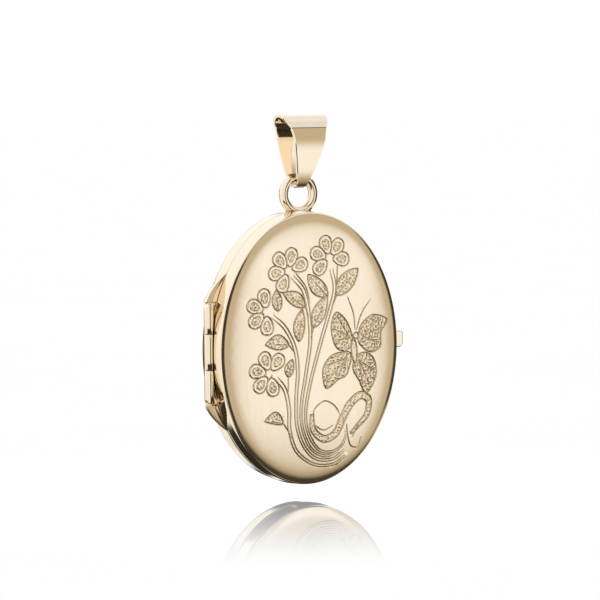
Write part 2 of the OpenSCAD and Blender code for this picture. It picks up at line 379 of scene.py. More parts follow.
def clear_material(name):
    """Clear acetate: see-through, with a soft shine marked by rub marks."""
    material, tree, shader = new_material(name)
    link = tree.links.new
    place = node(tree, "ShaderNodeTexCoord", (-900, 0))
    haze = node(tree, "ShaderNodeTexNoise", (-650, 0), Scale=600.0, Detail=5.0)
    link(place.outputs["Object"], haze.inputs["Vector"])
    rub = node(tree, "ShaderNodeMapRange", (-350, 0))
    rub.inputs["To Min"].default_value = 0.04
    rub.inputs["To Max"].default_value = 0.14
    link(haze.outputs["Fac"], rub.inputs["Value"])
    link(rub.outputs["Result"], shader.inputs["Roughness"])
    tint = node(tree, "ShaderNodeValToRGB", (-350, 250))
    ramp_colours(tint, [(0.3, (0.96, 0.97, 0.97)), (0.7, (1.0, 1.0, 1.0))])
    link(haze.outputs["Fac"], tint.inputs["Fac"])
    shader.inputs["Metallic"].default_value = 1.0
    link(tint.outputs["Color"], shader.inputs["Base Color"])
    through = node(tree, "ShaderNodeBsdfTransparent", (0, 300))
    link(tint.outputs["Color"], through.inputs["Color"])
    shine = node(tree, "ShaderNodeFresnel", (0, 500), IOR=1.3)
    layers = node(tree, "ShaderNodeMixShader", (300, 200))
    link(shine.outputs[0], layers.inputs[0])
    link(through.outputs[0], layers.inputs[1])
    link(shader.outputs[0], layers.inputs[2])
    link(layers.outputs[0], tree.nodes["Material Output"].inputs["Surface"])
    return material


def card_material(name, card):
    """Matt card with fibres."""
    material, tree, shader = new_material(name)
    link = tree.links.new
    shader.inputs["Roughness"].default_value = 0.85
    place = node(tree, "ShaderNodeTexCoord", (-900, 0))
    fibre = node(tree, "ShaderNodeTexNoise", (-650, 0), Scale=1500.0, Detail=6.0, Roughness=0.7)
    link(place.outputs["Object"], fibre.inputs["Vector"])
    tint = node(tree, "ShaderNodeValToRGB", (-350, 150))
    ramp_colours(tint, [(0.3, [c * 0.9 for c in card]), (0.7, list(card))])
    link(fibre.outputs["Fac"], tint.inputs["Fac"])
    link(tint.outputs["Color"], shader.inputs["Base Color"])
    bump = node(tree, "ShaderNodeBump", (0, -250), Strength=0.4, Distance=0.00002)
    link(fibre.outputs["Fac"], bump.inputs["Height"])
    link(bump.outputs["Normal"], shader.inputs["Normal"])
    return material


def finishes():
    """The finishes by material slot, made once and shared by the pieces."""
    settings = bpy.context.scene.locket_finish
    gold = tuple(settings.gold)
    if not FINISHES:
        # Every gold gets painted shade in its crevices; the engraved gold also in its cuts
        FINISHES["polished_gold"] = gold_material("bright_gold", gold, 0.03, 0.05)
        FINISHES["engraved_gold"] = gold_material("cut_gold_painted_shade", gold, 0.05, 0.06,
                                                  tuple(settings.cut_gold_painted_shade))
        FINISHES["inner_gold"] = gold_material("satin_gold", gold, 0.16, 0.15)
        FINISHES["clear_window"] = clear_material("clear_acetate")
        FINISHES["picture_card"] = card_material("blank_card", tuple(settings.card))
    return FINISHES


# ---------------------------------------------------------------- the case


def oval(inset, angles, half_width, half_height, lean=1.0):
    """Points of an oval that lies inset inside the outline."""
    return ((half_width - inset) * np.cos(angles), (half_height - inset * lean) * np.sin(angles))


def barrel_notch(x, y):
    """Depth up to which the wall is cut away for the barrel at the point x, y."""
    hinge_x = BARREL_LOW.x / 2 + BARREL_HIGH.x / 2
    across = BARREL_ROOM**2 - (x - hinge_x) ** 2
    beside = np.abs(y) < (BARREL_HIGH.z - BARREL_LOW.z) / 2 + 0.08 * MM
    return np.where((across > 0) & beside, np.sqrt(np.maximum(across, 0)), 0.0)


def wall_rings(case, depth, angles):
    """The side wall of one half, from its inner edge at the seam round to its outer shoulder."""
    edge_rings = [(case.wall, 0.0), (0.05 * MM, 0.0), (0.0, 0.05 * MM)]
    top = depth - 0.34 * MM
    rings = []
    for inset, rise in edge_rings:
        x, y = oval(inset, angles, case.half_width, case.half_height)
        rings.append((x, y, np.maximum(barrel_notch(x, y), case.seam) + rise))
    x, y, edge = rings[-1]
    for share in (0.12, 0.3, 0.5, 0.7, 0.85, 1.0):
        inset = 0.1 * MM * share
        x, y = oval(inset, angles, case.half_width, case.half_height, 1.3)
        rings.append((x, y, edge + (top - edge) * share))
    return rings


SHOULDER = ((0.12, 0.20), (0.15, 0.12), (0.195, 0.06), (0.235, 0.03), (0.265, 0.025))


def shoulder_rings(case, depth, angles):
    """The round from the wall over to the cover."""
    rings = []
    for inset, below in SHOULDER:
        x, y = oval(inset * MM, angles, case.half_width, case.half_height, 1.3)
        rings.append((x, y, np.full_like(x, depth - below * MM)))
    return rings


def dome_depth(x, y, case, depth):
    """Depth of a cover's outer face: nearly flat, and falling off at its edge."""
    inset = SHOULDER[-1][0] * MM
    a = case.half_width - inset
    b = case.half_height - inset * 1.3
    rho = np.clip((x / a) ** 2 + (y / b) ** 2, 0.0, 1.0)
    start = depth - SHOULDER[-1][1] * MM
    return start + DOME_RISE * (1 - rho) + EDGE_FALL * (1 - rho**14)


def dome_normals(x, y, case, depth):
    """Unit normals of the plain dome, in the case's frame."""
    step = 0.01 * MM
    base = dome_depth(x, y, case, depth)
    dzdx = (dome_depth(x + step, y, case, depth) - base) / step
    dzdy = (dome_depth(x, y + step, case, depth) - base) / step
    normals = np.stack([-dzdx, -dzdy, np.ones_like(base)], axis=1)
    return normals / np.linalg.norm(normals, axis=1)[:, None]


EDGE_SHARES = (0.994, 0.987, 0.979, 0.97, 0.96, 0.95, 0.94, 0.93)


def edge_rings(case, depth, angles):
    """The outermost part of the dome, where it falls off fast."""
    x, y, _ = shoulder_rings(case, depth, angles)[-1]
    return [(x * k, y * k, dome_depth(x * k, y * k, case, depth)) for k in EDGE_SHARES]


def inner_rings(case, depth, angles):
    """The hidden inside of a half, from under the cover back to the seam."""
    rings = []
    for share in (0.02, 0.3, 0.6, 0.85):
        a = (case.half_width - 0.7 * MM) * share
        b = (case.half_height - 0.7 * MM) * share
        rise = 0.34 * MM * (1 - share**2)
        rings.append((a * np.cos(angles), b * np.sin(angles),
                      np.full_like(angles, depth - DOME_RISE + rise)))
    for inset, below in ((0.55, 0.42), (0.37, 0.55)):
        x, y = oval(inset * MM, angles, case.half_width, case.half_height)
        rings.append((x, y, np.full_like(x, depth - below * MM)))
    return rings


# ---------------------------------------------------------------- the engraving


def spline(points, closed=False, step=0.1):
    """A smooth curve through a few points, in millimetres."""
    p = np.asarray(points, float)
    if closed:
        p = np.vstack([p[-1], p, p[0], p[1]])
    else:
        p = np.vstack([2 * p[0] - p[1], p, 2 * p[-1] - p[-2]])
    out = []
    for k in range(1, len(p) - 2):
        n = max(2, int(math.ceil(np.linalg.norm(p[k + 1] - p[k]) / step)))
        t = np.linspace(0, 1, n, endpoint=False)[:, None]
        out.append(0.5 * (2 * p[k] + (p[k + 1] - p[k - 1]) * t
                          + (2 * p[k - 1] - 5 * p[k] + 4 * p[k + 1] - p[k + 2]) * t**2
                          + (3 * p[k] - p[k - 1] - 3 * p[k + 1] + p[k + 2]) * t**3))
    out.append(p[-2][None, :])
    return np.vstack(out)


def beside(curve, offset):
    """The curve moved sideways. offset may change along it."""
    along = np.gradient(curve, axis=0)
    along /= np.maximum(np.linalg.norm(along, axis=1), 1e-9)[:, None]
    side = np.stack([-along[:, 1], along[:, 0]], axis=1)
    return curve + side * np.broadcast_to(offset, len(curve))[:, None]


def petal(centre, direction, length, width, pinch=0.25):
    """Outline of a round petal whose narrow end points at the flower's middle."""
    a = np.linspace(0, 2 * math.pi, 40, endpoint=False)
    along = length / 2 * np.cos(a)
    across = width / 2 * np.sin(a) * (1 + pinch * np.cos(a))
    u = np.array([math.cos(direction), math.sin(direction)])
    v = np.array([-u[1], u[0]])
    return np.asarray(centre) + along[:, None] * u + across[:, None] * v


def leaf(base, tip, width, bend=0.0):
    """Outline of a pointed leaf. bend moves its middle sideways."""
    base, tip = np.asarray(base, float), np.asarray(tip, float)
    u = tip - base
    v = np.array([-u[1], u[0]]) / np.linalg.norm(u)
    t = np.linspace(0, 1, 18)
    half = width / 2 * np.sin(math.pi * t**0.9) ** 0.8
    middle = base + t[:, None] * u + (bend * np.sin(math.pi * t))[:, None] * v
    one = middle + half[:, None] * v
    two = middle - half[:, None] * v
    return np.vstack([one, two[-2:0:-1]])


class Plate:
    """The cut front as a height map in the case's plane. Lengths are in millimetres."""

    STEP = 0.02

    def __init__(self, half_width, half_height, width, depth, stipple, seed):
        self.x = np.arange(-half_width - 0.5, half_width + 0.5, self.STEP)
        self.y = np.arange(-half_height - 0.5, half_height + 0.5, self.STEP)
        self.depth = np.zeros((len(self.y), len(self.x)))
        self.width = width
        self.line_depth = depth
        self.stipple = stipple
        self.grain = self._grain(seed)
        self.patches = np.zeros_like(self.depth)
        # Painted shade: how far each point's colour is darkened, for the shade in cut lines and
        # stippled beds
        self.tone = np.zeros_like(self.depth)

    def _grain(self, seed):
        """Band-limited noise for the stippling."""
        noise = np.random.default_rng(seed).standard_normal(self.depth.shape)
        fy = np.fft.fftfreq(len(self.y), self.STEP)[:, None]
        fx = np.fft.rfftfreq(len(self.x), self.STEP)[None, :]
        f = np.hypot(fx, fy)
        band = np.exp(-(((f - 2.5) / 1.0) ** 2))
        grain = np.fft.irfft2(np.fft.rfft2(noise) * band, s=self.depth.shape)
        return grain / grain.std()

    def _window(self, low, high, margin):
        i0, i1 = np.searchsorted(self.x, [low[0] - margin, high[0] + margin])
        j0, j1 = np.searchsorted(self.y, [low[1] - margin, high[1] + margin])
        return slice(j0, j1), slice(i0, i1)

    def line(self, curve, width=1.0, depth=1.0):
        """Cuts a round-bottomed line along the curve. width and depth may change along it."""
        widths = np.broadcast_to(width, len(curve)) * self.width / 2
        depths = np.broadcast_to(depth, len(curve)) * self.line_depth
        for k in range(len(curve) - 1):
            p, q = curve[k], curve[k + 1]
            half = max(widths[k], widths[k + 1])
            rows, columns = self._window(np.minimum(p, q), np.maximum(p, q), half)
            gx, gy = self.x[columns][None, :], self.y[rows][:, None]
            d = q - p
            t = np.clip(((gx - p[0]) * d[0] + (gy - p[1]) * d[1]) / max(d @ d, 1e-12), 0, 1)
            away = np.hypot(gx - p[0] - t * d[0], gy - p[1] - t * d[1])
            reach = widths[k] + (widths[k + 1] - widths[k]) * t
            deep = depths[k] + (depths[k + 1] - depths[k]) * t
            share = np.clip(away / np.maximum(reach, 1e-6), 0, 1)
            cut = deep * 0.5 * (1 + np.cos(math.pi * share))
            self.depth[rows, columns] = np.maximum(self.depth[rows, columns], cut)
            # painted shade along the line, strongest where it is cut deepest
            self.tone[rows, columns] = np.maximum(self.tone[rows, columns],
                                                  cut / self.line_depth)

    def patch(self, outline, grain=1.0, sink=0.3, line=1.0, rim=1.0, tint=0.16):
        """A stippled area with a line cut round it. It covers what was cut before. tint is the
        painted shade of the stippled bed, mottled at random by the grain.
        """
        closed = np.vstack([outline, outline[:1]])
        rows, columns = self._window(outline.min(0), outline.max(0), 0.1)
        gx, gy = self.x[columns][None, :], self.y[rows][:, None]
        inside = np.zeros((len(self.y[rows]), len(self.x[columns])), bool)
        for (x0, y0), (x1, y1) in zip(closed[:-1], closed[1:]):
            if y0 == y1:
                continue
            crosses = (gy > min(y0, y1)) & (gy <= max(y0, y1))
            inside ^= crosses & (gx < x0 + (gy - y0) * (x1 - x0) / (y1 - y0))
        bed = self.stipple * (sink + grain * np.clip(0.55 * self.grain[rows, columns], -0.3, 1.0))
        area = self.depth[rows, columns]
        area[inside] = np.maximum(bed, -0.3 * self.stipple)[inside]
        self.patches[rows, columns][inside] = 1.0
        # painted shade in the stippled bed: an even tint with a random mottle
        self.tone[rows, columns][inside] = np.clip(
            tint * (1 + 1.3 * grain * self.grain[rows, columns]), 0, 0.6)[inside]
        self.line(closed, line, rim)

    def at(self, field, x, y):
        """The field's value between its grid points."""
        u = np.clip((x - self.x[0]) / self.STEP, 0, len(self.x) - 1.001)
        v = np.clip((y - self.y[0]) / self.STEP, 0, len(self.y) - 1.001)
        i, j = u.astype(int), v.astype(int)
        fu, fv = u - i, v - j
        return ((field[j, i] * (1 - fu) + field[j, i + 1] * fu) * (1 - fv)
                + (field[j + 1, i] * (1 - fu) + field[j + 1, i + 1] * fu) * fv)


# Each flower: middle, angle of its first petal, angle between petals, number of petals
FLOWERS = (
    ((2.3, 9.8), -6, 56, 5),
    ((-2.9, 8.6), 22, 55, 5),
    ((-5.7, 4.3), 100, 57, 4),
    ((-5.4, -2.4), 52, 58, 5),
)
# Each leaf: base, tip, width, bend
LEAVES = (
    ((2.0, 5.6), (-0.5, 8.1), 1.7, 0.15),
    ((3.1, 5.7), (6.0, 8.5), 1.9, 0.1),
    ((-0.9, 4.6), (-3.6, 6.2), 1.5, -0.2),
    ((0.1, 2.3), (1.9, 5.7), 1.6, 0.1),
    ((-1.75, 0.9), (-1.3, 4.4), 1.4, 0.15),
    ((-3.0, 0.6), (-5.9, 0.8), 1.6, -0.25),
    ((-3.7, -7.9), (-6.0, -7.5), 1.3, -0.45),
    ((-4.3, 4.3), (-4.5, 6.6), 1.2, 0.0),
    ((-3.1, -2.9), (-2.6, -1.0), 1.1, 0.1),
)
# Each stem: its middle line, then the gap between its two cut lines at its top and foot
STEMS = (
    (((-4.6, -2.9), (-3.5, -4.3), (-3.0, -6.4), (-2.9, -8.7), (-2.0, -11.1), (0.2, -12.7),
      (2.6, -12.9), (4.2, -12.1)), 0.42, 0.2),
    (((-5.0, 3.8), (-3.5, 2.5), (-2.3, 0.3), (-1.9, -2.2), (-2.1, -5.2), (-2.0, -8.2),
      (-1.1, -10.6), (0.5, -12.1), (2.6, -12.3), (4.1, -11.4)), 0.4, 0.24),
    (((-2.5, 8.0), (-1.1, 6.4), (-0.5, 4.1), (-0.3, 1.0), (-0.9, -2.8), (-1.45, -6.0),
      (-1.3, -8.6), (-0.2, -10.9), (1.6, -11.9), (3.4, -11.5)), 0.42, 0.2),
    (((2.5, 8.6), (2.9, 6.5), (2.3, 4.3), (1.1, 0.9), (-0.3, -3.6), (-0.9, -6.9),
      (-0.5, -9.3), (0.8, -11.1), (2.4, -11.5), (3.8, -10.8), (4.4, -9.4)), 0.4, 0.2),
)
# Thin single lines
TENDRILS = (
    ((3.3, 9.0), (3.2, 7.0), (3.1, 5.7), (2.5, 4.4)),
    ((-2.1, 8.4), (-0.8, 6.8), (-0.3, 5.0)),
    ((-0.9, 4.6), (-0.5, 3.6)),
    ((0.1, 2.3), (-0.2, 1.2)),
    ((-3.0, 0.6), (-2.2, -0.4)),
    ((-3.7, -7.9), (-3.1, -8.8), (-2.7, -9.6)),
    ((-3.1, -2.9), (-3.1, -4.6)),
    ((5.5, 1.8), (5.3, 3.6), (4.5, 5.6)),
    ((5.7, 1.8), (6.4, 3.6), (7.7, 5.2)),
    ((0.0, -7.4), (0.3, -6.5), (1.5, -5.8), (2.8, -6.4), (3.6, -7.6)),
    ((0.3, -8.4), (1.4, -9.0), (2.7, -8.5)),
)
RIBBON = ((-0.1, -7.2), (0.1, -8.9), (1.5, -10.0), (3.0, -9.4), (3.9, -7.8), (4.9, -6.3),
          (6.2, -5.5), (7.3, -6.1), (7.1, -7.6), (5.9, -8.8), (5.0, -9.6))
TAIL = ((4.4, -8.6), (4.6, -10.0), (5.0, -11.0), (5.9, -11.2), (6.3, -10.2))
WINGS = (
    ((5.2, 0.9), (4.3, 2.9), (3.0, 3.8), (2.4, 2.2), (2.9, 0.2), (4.0, -0.5), (4.9, 0.0)),
    ((5.9, 0.9), (6.4, 2.4), (7.9, 3.3), (9.8, 2.7), (9.0, 1.4), (8.9, -0.2), (7.6, -0.8),
     (6.3, 0.0)),
    ((5.0, -0.9), (3.7, -0.6), (2.2, -1.0), (1.3, -2.4), (1.7, -4.4), (3.2, -3.6), (4.4, -3.0)),
    ((5.7, -1.1), (6.9, -0.8), (8.0, -1.6), (8.3, -3.4), (7.0, -5.3), (6.0, -3.8), (5.2, -2.4)),
)


def cut_plate(case, cut):
    """Cuts the flowers, leaves, ribbon and butterfly."""
    plate = Plate(case.half_width / MM, case.half_height / MM, cut.line_width / MM,
                  cut.line_depth / MM, cut.stipple_depth / MM, cut.seed)
    for points, top_gap, foot_gap in STEMS:
        middle = spline(points)
        gap = np.linspace(top_gap, foot_gap, len(middle)) / 2
        taper = np.interp(np.linspace(0, 1, len(middle)), (0, 0.06, 0.94, 1), (0.4, 1, 1, 0.4))
        for side in (1, -1):
            plate.line(beside(middle, side * gap), 0.9 * taper, 0.9 * taper)
    for points in TENDRILS:
        curve = spline(points)
        taper = np.interp(np.linspace(0, 1, len(curve)), (0, 0.15, 0.8, 1), (0.6, 1, 0.9, 0.3))
        plate.line(curve, 0.85 * taper, 0.85 * taper)
    for base, tip, width, bend in LEAVES:
        plate.patch(leaf(base, tip, width, bend))
        vein = spline((np.array(base), np.array(base) * 0.35 + np.array(tip) * 0.65))
        plate.line(vein, 0.6, 0.6)
    for (x, y), first, between, count in FLOWERS:
        for k in range(count):
            angle = math.radians(first + between * k)
            centre = (x + 1.5 * math.cos(angle), y + 1.5 * math.sin(angle))
            plate.patch(petal(centre, angle, 2.05, 1.5), grain=0.25, tint=0.0)
            inner = petal((x + 1.55 * math.cos(angle), y + 1.55 * math.sin(angle)), angle,
                          1.15, 0.8)
            plate.patch(inner, line=0.55, rim=0.45)
    for outline in WINGS:
        wing = spline(outline, closed=True)
        plate.patch(wing, grain=1.2)
        middle = wing.mean(0)
        for start in (len(wing) // 3, len(wing) // 2, 2 * len(wing) // 3):
            plate.line(spline((wing[0] * 0.7 + middle * 0.3, wing[start] * 0.8 + middle * 0.2)),
                       0.7, 0.6)
    ribbon = spline(RIBBON)
    breadth = 0.42 * np.sin(np.linspace(0.25, math.pi - 0.1, len(ribbon))) ** 0.5
    band = np.vstack([beside(ribbon, breadth), beside(ribbon, -breadth)[::-1]])
    plate.patch(band, grain=0.8)
    plate.line(spline(TAIL), 0.9, 0.9)
    plate.line(spline(((5.9, -8.8), (5.2, -10.0))), 0.8, 0.8)
    body = petal((5.4, -0.6), math.radians(95), 2.6, 0.75, 0.1)
    plate.patch(body, grain=0.5)
    plate.patch(petal((5.6, 1.15), math.radians(95), 0.7, 0.7, 0.0), grain=0.3)
    return plate


def triangle_lattice(step, half_width, half_height):
    """Points of an even triangular lattice over the plate."""
    rows = np.arange(-half_height, half_height, step * math.sqrt(3) / 2)
    columns = np.arange(-half_width, half_width, step)
    gx, gy = np.meshgrid(columns, rows)
    gx = gx + (np.arange(len(rows)) % 2)[:, None] * step / 2
    return gx.ravel(), gy.ravel()


def spread(mask, cells):
    """The mask grown by a number of cells."""
    out = mask.copy()
    for _ in range(cells):
        grown = out.copy()
        grown[1:] |= out[:-1]
        grown[:-1] |= out[1:]
        grown[:, 1:] |= out[:, :-1]
        grown[:, :-1] |= out[:, 1:]
        out = grown
    return out


def engraved_points(plate, border):
    """Where the cut plate needs vertices: close together on the lines, far apart elsewhere."""
    lines = spread(plate.depth > 0.05 * plate.line_depth, 4)
    stippled = plate.patches > 0.5
    fine = lines & ~stippled
    curved = np.abs(np.gradient(plate.depth)[0]) + np.abs(np.gradient(plate.depth)[1])
    fine |= stippled & spread(curved > 0.2 * plate.line_depth / 4, 1)
    near = spread(fine | stippled, 12)
    half_width, half_height = border[:, 0].max(), border[:, 1].max()
    levels = ((0.065, fine), (0.1, stippled & ~fine), (0.35, near & ~fine & ~stippled),
              (0.9, ~near & ~fine & ~stippled))
    chosen = []
    for step, mask in levels:
        x, y = triangle_lattice(step, half_width, half_height)
        keep = plate.at(mask.astype(float), x, y) > 0.5
        inside = (x / (half_width - 0.12)) ** 2 + (y / (half_height - 0.12)) ** 2 < 1
        chosen.append(np.stack([x[keep & inside], y[keep & inside]], axis=1))
    chosen.append(border[::2] * 0.985)
    return np.vstack(chosen)


def cut_cover(case, cut, border):
    """The engraved face inside its border: points, triangles, normals and how much painted shade
    each point gets.
    """
    plate = cut_plate(case, cut)
    inner = engraved_points(plate, border)
    points = np.vstack([border, inner])
    n = len(border)
    edges = [(i, (i + 1) % n) for i in range(n)]
    verts, _, faces, origin, _, _ = geometry.delaunay_2d_cdt(
        [Vector(p) for p in points], edges, [], 1, 1e-5)
    if len(verts) < n or any(not o or o[0] != i for i, o in enumerate(origin[:n])):
        raise RuntimeError("the cut plate's border was changed by the triangulation")
    xy = np.array([tuple(v) for v in verts])
    slope_y, slope_x = np.gradient(plate.depth, Plate.STEP)
    depth = plate.at(plate.depth, xy[:, 0], xy[:, 1])
    base = dome_depth(xy[:, 0] * MM, xy[:, 1] * MM, case, case.front_depth) / MM
    normals = dome_normals(xy[:, 0] * MM, xy[:, 1] * MM, case, case.front_depth)
    normals /= normals[:, 2:3]
    normals[:, 0] += plate.at(slope_x, xy[:, 0], xy[:, 1])
    normals[:, 1] += plate.at(slope_y, xy[:, 0], xy[:, 1])
    normals /= np.linalg.norm(normals, axis=1)[:, None]
    solid = np.stack([xy[:, 0] * MM, xy[:, 1] * MM, (base - depth) * MM], axis=1)
    # painted shade of the cut lines and stippling, from the plate's shade map
    share = np.clip(plate.at(plate.tone, xy[:, 0], xy[:, 1]), 0, 1)
    return solid, [tuple(f) for f in faces], normals, share


PLAIN_SHARES = (0.98, 0.95, 0.9, 0.84, 0.76, 0.66, 0.54, 0.4, 0.25, 0.1, 0.02)


def half_shell(case, depth, face=None):
    """Points and faces of one half of the case, closed all over.

    face is the engraved cover, or none for a plain dome. The third result is the index of the
    first point on the cover's border.
    """
    angles = np.linspace(0, 2 * math.pi, AROUND, endpoint=False)
    rings = (wall_rings(case, depth, angles) + shoulder_rings(case, depth, angles)
             + edge_rings(case, depth, angles))
    x, y, _ = rings[-1]
    if face is None:
        rings += [(x * k, y * k, dome_depth(x * k, y * k, case, depth)) for k in PLAIN_SHARES]
    points = [np.stack(r, axis=1) for r in rings]
    faces = grid_faces(len(rings), AROUND)
    border = (len(rings) - 1) * AROUND
    count = len(rings) * AROUND
    if face is None:
        points.append(np.array([[0, 0, dome_depth(np.zeros(1), np.zeros(1), case, depth)[0]]]))
        faces += [(border + i, border + (i + 1) % AROUND, count) for i in range(AROUND)]
        count += 1
    else:
        solid, triangles = face[:2]
        points.append(solid[AROUND:])
        faces += [tuple(border + i for i in t) for t in triangles]
        count += len(solid) - AROUND
    inner = inner_rings(case, depth, angles)
    points += [np.stack(r, axis=1) for r in inner]
    faces += grid_faces(len(inner), AROUND, start=count)
    under, last_inner = count + len(inner) * AROUND, count + (len(inner) - 1) * AROUND
    points.append(np.array([[0, 0, depth - 0.02 * MM]]))
    for i in range(AROUND):
        after = (i + 1) % AROUND
        faces.append((count + after, count + i, under))
        faces.append((last_inner + i, last_inner + after, after, i))
    return np.vstack(points), faces, border


def volume(mesh):
    """Signed volume of a closed mesh: positive when its faces look outward."""
    mesh.calc_loop_triangles()
    corners = np.empty(len(mesh.loop_triangles) * 3, np.int32)
    mesh.loop_triangles.foreach_get("vertices", corners)
    places = np.empty(len(mesh.vertices) * 3)
    mesh.vertices.foreach_get("co", places)
    a, b, c = np.moveaxis(places.reshape(-1, 3)[corners.reshape(-1, 3)], 1, 0)
    return float(np.einsum("ij,ij->", a, np.cross(b, c)) / 6)


def shell_piece(name, case, depth, material, side, face=None):
    """The mesh of a half, with the painted shade of its cuts as an attribute and true normals on
    the face.
    """
    points, faces, border = half_shell(case, depth, face)
    points[:, 2] *= side
    if side < 0:
        faces = [tuple(reversed(f)) for f in faces]
    obj = mesh_piece(name, to_world(points), faces, material)
    mesh = obj.data
    if volume(mesh) <= 0:
        raise RuntimeError("the shell is inside out")
    if face is not None:
        normals, share = face[2:]
        # the attribute named cut carries the painted shade of the cut lines and stippling
        attribute = mesh.attributes.new("cut", "FLOAT", "POINT")
        cut = np.zeros(len(points), np.float32)
        cut[border:border + len(share)] = share
        attribute.data.foreach_set("value", cut)
        shading = np.zeros(len(points) * 3, np.float32)
        mesh.vertex_normals.foreach_get("vector", shading)
        shading = shading.reshape(-1, 3)
        first = border - (len(EDGE_SHARES) - 1) * AROUND
        edge = dome_normals(points[first:border, 0], points[first:border, 1], case, depth)
        known = np.vstack([edge, normals])
        shading[first:first + len(known)] = np.stack(
            [known[:, 0], -known[:, 2], known[:, 1]], axis=1)
        mesh.normals_split_custom_set_from_vertices([tuple(v) for v in shading])
    return obj


def build_front(context):
    """The front half's shell with its engraved face."""
    case = context.scene.locket_case
    cut = context.scene.locket_engraving
    angles = np.linspace(0, 2 * math.pi, AROUND, endpoint=False)
    x, y, _ = edge_rings(case, case.front_depth, angles)[-1]
    border = np.stack([x, y], axis=1) / MM
    face = cut_cover(case, cut, border)
    obj = shell_piece("front_shell", case, case.front_depth, finishes()["engraved_gold"], 1, face)
    stand_in(obj, "front_half", "engraved_gold", "front_cover", "front_rim")


def build_back(context):
    """The back half's plain shell."""
    case = context.scene.locket_case
    obj = shell_piece("back_shell", case, case.back_depth, finishes()["polished_gold"], -1)
    stand_in(obj, "back_half", "polished_gold", "back_cover", "back_rim")


# ---------------------------------------------------------------- the bail and the ring


def soft_support(directions, circles, sharpness):
    """Support of a few circles' hull, rounded where one circle hands over to the next."""
    total = 0.0
    for (c0, c1), radius in circles:
        total = total + np.exp(sharpness * (c0 * np.cos(directions) + c1 * np.sin(directions)
                                            + radius))
    return np.log(total) / sharpness


# The bail's outline: share of its height from the top down, then share of its half width.
BAIL_TAPER = ((0.0, 1.0), (0.06, 0.975), (0.12, 0.9), (0.18, 0.8), (0.27, 0.725), (0.42, 0.645),
              (0.58, 0.53), (0.75, 0.4), (0.88, 0.28), (1.0, 0.22))

# Tilt of the bail's front, in degrees above the horizon, at shares of its height from the top
BELLY = ((0.175, 13.4), (0.22, 8.0), (0.3, 5.0), (0.45, 1.5), (0.62, -2.0), (0.75, -4.2),
         (0.84, -6.5), (0.93, -10.0), (1.0, -16.0))


def build_bail(context):
    """A tapered strip folded into a teardrop loop, with soft edges."""
    bail = context.scene.locket_bail
    top = BAIL_HIGH.z / MM
    steps, corner = 200, 0.07
    angles = np.linspace(0, 2 * math.pi, steps, endpoint=False)
    # in millimetres: forward from the parting plane, then up from the origin
    circles = (
        ((-0.53, top - BAIL_RISE / MM), 1.17),
        ((0.25, top - 3.05), 1.80),
        ((0.0, top - 1.75), 1.73),
    )
    h = soft_support(angles, circles, 5.0)
    dh = np.gradient(np.concatenate([h[-2:], h, h[:2]]), angles[1] - angles[0])[2:-2]
    forward = h * np.cos(angles) - dh * np.sin(angles)
    height = h * np.sin(angles) + dh * np.cos(angles)
    low, high = height.min(), height.max()
    strip = bail.thickness / MM
    rows = []
    section = [(-1, corner, 0), (-1, 0, corner), (-1, 0, strip - corner),
               (-1, corner, strip), (1, corner, strip), (1, 0, strip - corner),
               (1, 0, corner), (1, corner, 0)]
    for k in range(steps):
        row = []
        for side, edge_in, inward in section:
            f = forward[k] - inward * math.cos(angles[k])
            u = height[k] - inward * math.sin(angles[k])
            share = (high - u) / (high - low)
            wide = bail_half_width(share, bail.half_width)
            row.append((side * (wide - edge_in * MM), -f * MM, u * MM))
        rows.append(row)
    points = [p for row in rows for p in row]
    faces = grid_faces(steps, len(section), close_rows=True)
    obj = mesh_piece("bail_loop", points, faces, finishes()["polished_gold"])
    outward(obj)
    # crisp arrises along the strip's edges
    mark_sharp(obj, 40)
    belly_out(obj, low * MM, high * MM)
    stand_in(obj, "bail", "polished_gold", "bail")


def belly_out(obj, low, high):
    """Shades the strip's front as one long soft curve below the crown's crisp edge."""
    mesh = obj.data
    normals = [corner.vector.copy() for corner in mesh.corner_normals]
    shares, tilts = zip(*BELLY)
    for face in mesh.polygons:
        if face.normal.y > -0.3 or abs(face.normal.x) > 0.3 or face.center.y > 0:
            continue
        for k in face.loop_indices:
            share = (high - mesh.vertices[mesh.loops[k].vertex_index].co.z) / (high - low)
            if share >= shares[0] and face.center.y < -0.9 * MM * (1 - share):
                tilt = math.radians(np.interp(share, shares, tilts))
                normals[k] = Vector((0, -math.cos(tilt), math.sin(tilt)))
    mesh.normals_split_custom_set(normals)


def bail_half_width(share, half_width):
    """Half of the bail's width at a share of its height, from the top down."""
    shares, widths = zip(*BAIL_TAPER)
    return float(np.interp(share, shares, widths)) * half_width


def mark_sharp(obj, angle):
    """Splits the shading on edges that turn by more than the angle."""
    obj.data.set_sharp_from_angle(angle=math.radians(angle))


